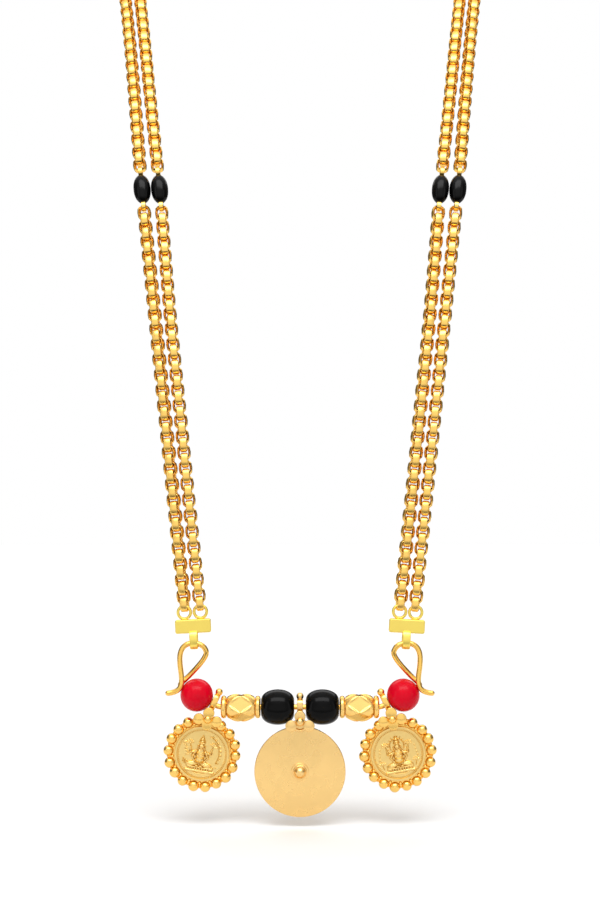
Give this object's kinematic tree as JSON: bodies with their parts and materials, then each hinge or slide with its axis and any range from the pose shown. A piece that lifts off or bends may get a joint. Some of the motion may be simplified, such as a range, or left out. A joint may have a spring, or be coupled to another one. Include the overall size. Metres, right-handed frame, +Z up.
{
  "type": "thali necklace",
  "caption": "Long necklace of two parallel box chains joined to a hooked wire that carries beads, a plain disc and coin drops; whole loop in its worn shape.",
  "frame": {"origin": "middle of the neck opening, at the height where the chains rest on the neck", "axes": "+Z up, front faces -Y, +X to the right of a viewer in front"},
  "size_m": [0.1188, 0.1439, 0.2462],
  "materials": {
    "chain_gold": "polished",
    "bar_gold": "satin",
    "wire_gold": "polished",
    "bead_gold": "polished",
    "disc_gold": "polished",
    "coin_gold": "satin",
    "oval_bead_black": "gloss",
    "black_bead": "gloss",
    "red_bead": "gloss"
  },
  "bodies": {
    "root": {"outer_chain_left": "chain_gold", "outer_chain_neck": "chain_gold", "outer_chain_right": "chain_gold", "inner_chain_left": "chain_gold", "inner_chain_neck": "chain_gold", "inner_chain_right": "chain_gold", "oval_bead_outer_left": "oval_bead_black", "oval_bead_outer_right": "oval_bead_black", "oval_bead_inner_left": "oval_bead_black", "oval_bead_inner_right": "oval_bead_black", "eye_pin_outer_left": "chain_gold", "eye_pin_outer_right": "chain_gold", "eye_pin_inner_left": "chain_gold", "eye_pin_inner_right": "chain_gold", "end_bar_left": "bar_gold", "end_bar_right": "bar_gold"},
    "thali": {"thali_wire": "wire_gold", "red_bead_left": "red_bead", "red_bead_right": "red_bead", "gold_bead_left": "bead_gold", "gold_bead_right": "bead_gold", "black_bead_left": "black_bead", "black_bead_right": "black_bead", "inner_spacer_left": "bead_gold", "inner_spacer_right": "bead_gold", "outer_spacer_left": "bead_gold", "outer_spacer_right": "bead_gold"},
    "disc": {"disc_pendant": "disc_gold"},
    "coin_left": {"coin_pendant_left": "coin_gold"},
    "coin_right": {"coin_pendant_right": "coin_gold"}
  },
  "joints": [
    {"name": "thali_swing", "type": "hinge", "parent": "root", "child": "thali", "pos_m": [0, -0.084, -0.19375], "axis": [1, 0, 0], "range_deg": [-40, 40]},
    {"name": "disc_swing", "type": "hinge", "parent": "thali", "child": "disc", "pos_m": [0, -0.084, -0.2078], "axis": [1, 0, 0], "range_deg": [-60, 60]},
    {"name": "coin_swing_left", "type": "hinge", "parent": "thali", "child": "coin_left", "pos_m": [-0.0187, -0.084, -0.20732], "axis": [0.8819, 0, -0.4715], "range_deg": [-35, 45]},
    {"name": "coin_swing_right", "type": "hinge", "parent": "thali", "child": "coin_right", "pos_m": [0.0187, -0.084, -0.20732], "axis": [0.8819, 0, 0.4715], "range_deg": [-35, 45]}
  ]
}
